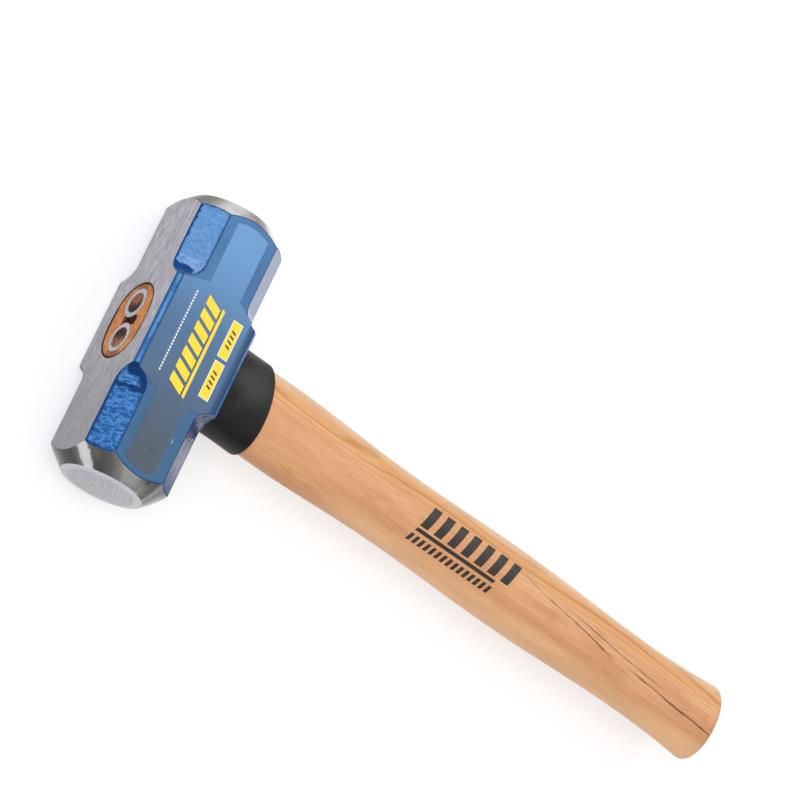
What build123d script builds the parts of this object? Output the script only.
from build123d import *
import math
import os

os.makedirs("parts", exist_ok=True)

# Sledgehammer lying on one cheek of its head.
# X runs along the handle, from the head's top face (-X) to the butt (+X).
# Y runs along the head, from one striking face to the other.
# Z points up; Z = 0 is the lower cheek, and X = Y = 0 is the middle of the head.

# --------------------------------------------------------------- driving dimensions (mm)

# Head
HEAD_HEIGHT = 46.2         # top face to bottom face, along the handle
HEAD_WIDTH = 47.2          # cheek to cheek
FACE_SPACING = 131.6       # between the outlines of the two striking faces
FACE_RADIUS = 18.7         # outline of a striking face
FACE_RIM = 1.6             # bevelled ring between that outline and the crown
FACE_RIM_RISE = 0.35
CROWN_RISE = 0.8           # middle of a striking face above its bevelled ring
CONE_REACH = 16.0          # how far the turned cone runs back from a striking face
FACET_DISTANCE = 26.0      # head axis to each of the forged corner facets
SCOOP_RADIUS = 8.6         # hollow that runs a facet out into the middle block
SCOOP_STARTS = {           # degrees from +X towards +Z: where that corner's facets stop
    45: (29.2, 27.9),      # being flat, towards +Y and towards -Y from the middle
    135: (32.0, 28.3),
    225: (29.2, 28.3),
    315: (29.2, 27.9),
}
SCOOP_LIP = 0.8            # rounding of the hollow's outer edge
MIDDLE_CHAMFER = 2.0       # chamfer on the long edges of the middle block

# Eye, and the tenon that fills it
EYE_OFFSET = 1.2           # eye centre, towards +Y from the middle of the head
EYE_TOP = (18.2, 13.2)     # half length along Y, half width along Z, at the top face
EYE_BOTTOM = (17.4, 12.5)  # the same at the bottom face, where the eye is tightest
EYE_END_RATIO = 0.95       # radius of the eye's ends over its half width
EYE_RIM_CHAMFER = 0.5

# Wedges
KERF_TOP = 8.0             # thickness of the wooden wedge at the top face
KERF_TIP = 1.5
KERF_DEPTH = 31.0
KERF_REACH = 22.0          # half length of the slot, past the ends of the eye
RING_SPACING = 16.8        # between the two ring wedges' centres
RING_RADIUS = 7.0          # outside of a ring wedge
RING_WALL_TOP = 2.1
RING_WALL_TIP = 0.5
RING_DEPTH = 12.0
SPLIT_LENGTH = 4.6         # hollow left in the wood between the two rings
SPLIT_WIDTH = 10.6
SPLIT_OFFSET = 1.6         # its centre, towards +Z from the middle of the eye
SPLIT_DEPTH = 2.5

# Handle: (distance from the middle of the head, half width along Y)
HANDLE_STATIONS = (
    (HEAD_HEIGHT / 2, 19.9),   # shoulder against the head
    (60.0, 19.5),
    (100.0, 18.4),
    (145.0, 17.6),             # first waist
    (195.0, 18.5),             # palm swell
    (235.0, 17.8),
    (277.0, 16.7),             # second waist
    (305.0, 17.4),
    (325.0, 19.0),             # butt
)
HANDLE_FLATNESS = 0.72     # thickness along Z over width along Y
BUTT_ROUNDING = 3.5

# Rubber collar
COLLAR_WALL = 1.6
COLLAR_END = 48.4          # rim, on the handle axis, from the middle of the head
COLLAR_RIM_SLANT = 8.2     # degrees; the rim reaches further along the -Y side
COLLAR_ROUNDING = 1.4

# Label on the upper cheek
LABEL_THICKNESS = 0.15
LABEL_NARROW = 8.4         # half width along X over the faceted ends
LABEL_TOP_EDGE = -20.4     # the wide middle's edge towards the head's top face
LABEL_BOTTOM_EDGE = 17.8   # the wide middle's edge towards the handle
LABEL_MIDDLE = 1.2         # Y of the wide middle's centre
LABEL_STEP_INNER = 22.2    # from there to where the wide middle starts to narrow
LABEL_STEP_OUTER = 26.3    # from there to where it has reached the narrow width
LABEL_CORNER = 56.4        # |Y| of the end corners
LABEL_END = 58.2           # |Y| of the rounded end at its middle

# --------------------------------------------------------------- derived places

AXIS_HEIGHT = HEAD_WIDTH / 2
TOP_FACE = -HEAD_HEIGHT / 2
BOTTOM_FACE = HEAD_HEIGHT / 2
HANDLE_AXIS = Axis((0, 0, AXIS_HEIGHT), (1, 0, 0))
HEAD_AXIS = Axis((0, 0, AXIS_HEIGHT), (0, 1, 0))


def section_plane(x, y=0.0):
    """Plane square to the handle: its own x runs along +Y and its own y along +Z."""
    return Plane(origin=(x, y, AXIS_HEIGHT), x_dir=(0, 1, 0), z_dir=(1, 0, 0))


def oval(half_length, half_width):
    """Oval face made of two end arcs joined by two flatter side arcs."""
    end_radius = EYE_END_RATIO * half_width
    end_centre = half_length - end_radius
    side_radius = (end_centre**2 + half_width**2 - end_radius**2) / (2 * (half_width - end_radius))
    side_drop = side_radius - half_width
    blend = math.degrees(math.atan2(side_drop, end_centre))
    with BuildSketch() as sketch:
        with BuildLine():
            CenterArc((end_centre, 0), end_radius, -blend, 2 * blend)
            CenterArc((0, -side_drop), side_radius, blend, 180 - 2 * blend)
            CenterArc((-end_centre, 0), end_radius, 180 - blend, 2 * blend)
            CenterArc((0, side_drop), side_radius, 180 + blend, 180 - 2 * blend)
        make_face()
    return sketch.sketch


def eye_filler():
    """Solid that fills the tapered eye from the top face to the bottom face."""
    with BuildPart() as filler:
        with BuildSketch(section_plane(TOP_FACE, EYE_OFFSET)):
            add(oval(*EYE_TOP))
        with BuildSketch(section_plane(BOTTOM_FACE, EYE_OFFSET)):
            add(oval(*EYE_BOTTOM))
        loft()
    return filler.part


def grip_solid(margin):
    """The handle outside the head, grown all round by a margin."""
    with BuildPart() as grip:
        for x, half_width in HANDLE_STATIONS:
            with BuildSketch(section_plane(x)):
                Ellipse(half_width + margin, half_width * HANDLE_FLATNESS + margin)
        loft()
    return grip.part


def kerf_solid():
    """Tapered slot across the tenon, along the eye's long axis."""
    with BuildPart() as kerf:
        with BuildSketch(Plane.XZ.offset(-EYE_OFFSET)):
            with BuildLine():
                Polyline(
                    (TOP_FACE, AXIS_HEIGHT - KERF_TOP / 2),
                    (TOP_FACE, AXIS_HEIGHT + KERF_TOP / 2),
                    (TOP_FACE + KERF_DEPTH, AXIS_HEIGHT + KERF_TIP / 2),
                    (TOP_FACE + KERF_DEPTH, AXIS_HEIGHT - KERF_TIP / 2),
                    close=True,
                )
            make_face()
        extrude(amount=KERF_REACH, both=True)
    return kerf.part


def split_hollow():
    """Small hollow in the wood between the two ring wedges."""
    with BuildPart() as hollow:
        with BuildSketch(section_plane(TOP_FACE, EYE_OFFSET)):
            with Locations((0, SPLIT_OFFSET)):
                Rectangle(SPLIT_LENGTH, SPLIT_WIDTH)
        extrude(amount=SPLIT_DEPTH)
    return hollow.part


# --------------------------------------------------------------- head

CHEEK_CORNER = (HEAD_HEIGHT + HEAD_WIDTH) / 2
TURNED_RADIUS = FACE_RADIUS + CONE_REACH
FACE_END = FACE_SPACING / 2
HEAD_END = FACE_END + FACE_RIM_RISE + CROWN_RISE


def facet_plane(corner_angle):
    """Plane through the head axis: its own x points at a corner and its own y along +Y."""
    angle = math.radians(corner_angle)
    return Plane(
        origin=(0, 0, AXIS_HEIGHT),
        x_dir=(math.cos(angle), 0, math.sin(angle)),
        z_dir=(-math.sin(angle), 0, math.cos(angle)),
    )


def facet_cutter(start):
    """Face that cuts one facet and its hollow, from where the facet stops being flat."""
    with BuildSketch(mode=Mode.PRIVATE) as cutter:
        with BuildLine():
            hollow_arc = CenterArc((FACET_DISTANCE + SCOOP_RADIUS, start), SCOOP_RADIUS, 180, 90)
            Polyline(
                hollow_arc @ 1,
                (CHEEK_CORNER, start - SCOOP_RADIUS),
                (CHEEK_CORNER, HEAD_END),
                (FACET_DISTANCE, HEAD_END),
                hollow_arc @ 0,
            )
        make_face()
    return cutter.sketch


with BuildPart() as head:
    # Plain bar with chamfered long edges, which stays as it is around the eye.
    with BuildSketch(Plane.XZ) as bar_section:
        with Locations((0, AXIS_HEIGHT)):
            Rectangle(HEAD_HEIGHT, HEAD_WIDTH)
        chamfer(bar_section.vertices(), MIDDLE_CHAMFER)
    extrude(amount=HEAD_END, both=True)

    # Corner facets at both ends, each run out towards the middle by a round hollow.
    for corner_angle, starts in SCOOP_STARTS.items():
        with BuildSketch(facet_plane(corner_angle)):
            add(facet_cutter(starts[0]))
            add(mirror(facet_cutter(starts[1]), about=Plane.XZ, mode=Mode.PRIVATE))
        extrude(amount=CHEEK_CORNER, both=True, mode=Mode.SUBTRACT)
    hollows = head.faces().filter_by(GeomType.CYLINDER)
    hollow_ends = hollows.edges().filter_by(GeomType.CIRCLE)
    hollow_lips = hollows.edges().filter_by(GeomType.LINE).filter_by(
        lambda edge: abs(edge.center().Y) < EYE_TOP[0] + SCOOP_RADIUS
    )
    fillet(hollow_ends + hollow_lips, SCOOP_LIP)

    # Turned ends: a cone, a narrow bevelled ring and a crowned striking face.
    with BuildSketch(Plane.XY.offset(AXIS_HEIGHT)):
        with BuildLine():
            crown_radius = FACE_RADIUS - FACE_RIM
            crown_edge = FACE_END + FACE_RIM_RISE
            Polyline(
                (0, 0),
                (TURNED_RADIUS, 0),
                (TURNED_RADIUS, FACE_END - CONE_REACH),
                (FACE_RADIUS, FACE_END),
                (crown_radius, crown_edge),
            )
            TangentArc((0, HEAD_END), (crown_radius, crown_edge), tangent=(1, 0))
            Line((0, HEAD_END), (0, 0))
        make_face()
        mirror(about=Plane.XZ)
    revolve(axis=HEAD_AXIS, mode=Mode.INTERSECT)

    # Tapered eye for the handle.
    add(eye_filler(), mode=Mode.SUBTRACT)
    eye_rim = head.faces().sort_by(Axis.X)[0].inner_wires()[0].edges()
    chamfer(eye_rim, EYE_RIM_CHAMFER)


# --------------------------------------------------------------- ring wedges


def ring_wedge(centre_y):
    """Steel ring, square at the top face and thinned to an edge where it was driven in."""
    with BuildPart() as ring:
        with BuildSketch(Plane.XY.offset(AXIS_HEIGHT)):
            with BuildLine():
                Polyline(
                    (TOP_FACE, centre_y + RING_RADIUS - RING_WALL_TOP),
                    (TOP_FACE, centre_y + RING_RADIUS),
                    (TOP_FACE + RING_DEPTH, centre_y + RING_RADIUS),
                    (TOP_FACE + RING_DEPTH, centre_y + RING_RADIUS - RING_WALL_TIP),
                    close=True,
                )
            make_face()
        revolve(axis=Axis((0, centre_y, AXIS_HEIGHT), (1, 0, 0)))
    return ring


ring_wedge_front = ring_wedge(EYE_OFFSET - RING_SPACING / 2)
ring_wedge_rear = ring_wedge(EYE_OFFSET + RING_SPACING / 2)


# --------------------------------------------------------------- wooden wedge

with BuildPart() as kerf_wedge:
    add(eye_filler())
    add(kerf_solid(), mode=Mode.INTERSECT)
    add(ring_wedge_front.part, mode=Mode.SUBTRACT)
    add(ring_wedge_rear.part, mode=Mode.SUBTRACT)
    add(split_hollow(), mode=Mode.SUBTRACT)


# --------------------------------------------------------------- handle

with BuildPart() as handle:
    add(grip_solid(0))
    fillet(handle.faces().sort_by(Axis.X)[-1].edges(), BUTT_ROUNDING)
    add(eye_filler())
    add(kerf_solid(), mode=Mode.SUBTRACT)
    add(ring_wedge_front.part, mode=Mode.SUBTRACT)
    add(ring_wedge_rear.part, mode=Mode.SUBTRACT)
    add(split_hollow(), mode=Mode.SUBTRACT)


# --------------------------------------------------------------- rubber collar

slant = math.radians(COLLAR_RIM_SLANT)
rim_plane = Plane(
    origin=(COLLAR_END, 0, AXIS_HEIGHT),
    x_dir=(-math.sin(slant), math.cos(slant), 0),
    z_dir=(math.cos(slant), math.sin(slant), 0),
)

with BuildPart() as collar:
    add(grip_solid(COLLAR_WALL))
    split(bisect_by=rim_plane, keep=Keep.BOTTOM)
    fillet(collar.faces().sort_by(Axis.X)[-1].edges(), COLLAR_ROUNDING)
    add(grip_solid(0), mode=Mode.SUBTRACT)


# --------------------------------------------------------------- label

with BuildPart() as label:
    with BuildSketch(Plane.XY.offset(HEAD_WIDTH)):
        with BuildLine():
            Polyline(
                (-LABEL_NARROW, LABEL_CORNER),
                (-LABEL_NARROW, LABEL_MIDDLE + LABEL_STEP_OUTER),
                (LABEL_TOP_EDGE, LABEL_MIDDLE + LABEL_STEP_INNER),
                (LABEL_TOP_EDGE, LABEL_MIDDLE - LABEL_STEP_INNER),
                (-LABEL_NARROW, LABEL_MIDDLE - LABEL_STEP_OUTER),
                (-LABEL_NARROW, -LABEL_CORNER),
            )
            Polyline(
                (LABEL_NARROW, LABEL_CORNER),
                (LABEL_NARROW, LABEL_MIDDLE + LABEL_STEP_OUTER),
                (LABEL_BOTTOM_EDGE, LABEL_MIDDLE + LABEL_STEP_INNER),
                (LABEL_BOTTOM_EDGE, LABEL_MIDDLE - LABEL_STEP_INNER),
                (LABEL_NARROW, LABEL_MIDDLE - LABEL_STEP_OUTER),
                (LABEL_NARROW, -LABEL_CORNER),
            )
            ThreePointArc((-LABEL_NARROW, LABEL_CORNER), (0, LABEL_END), (LABEL_NARROW, LABEL_CORNER))
            ThreePointArc(
                (-LABEL_NARROW, -LABEL_CORNER), (0, -LABEL_END), (LABEL_NARROW, -LABEL_CORNER)
            )
        make_face()
    extrude(amount=LABEL_THICKNESS)


# --------------------------------------------------------------- export

PIECES = {
    "head": head,
    "handle": handle,
    "kerf_wedge": kerf_wedge,
    "ring_wedge_front": ring_wedge_front,
    "ring_wedge_rear": ring_wedge_rear,
    "collar": collar,
    "label": label,
}
for name, piece in PIECES.items():
    piece.part.label = name
    export_step(piece.part, f"parts/{name}.step")
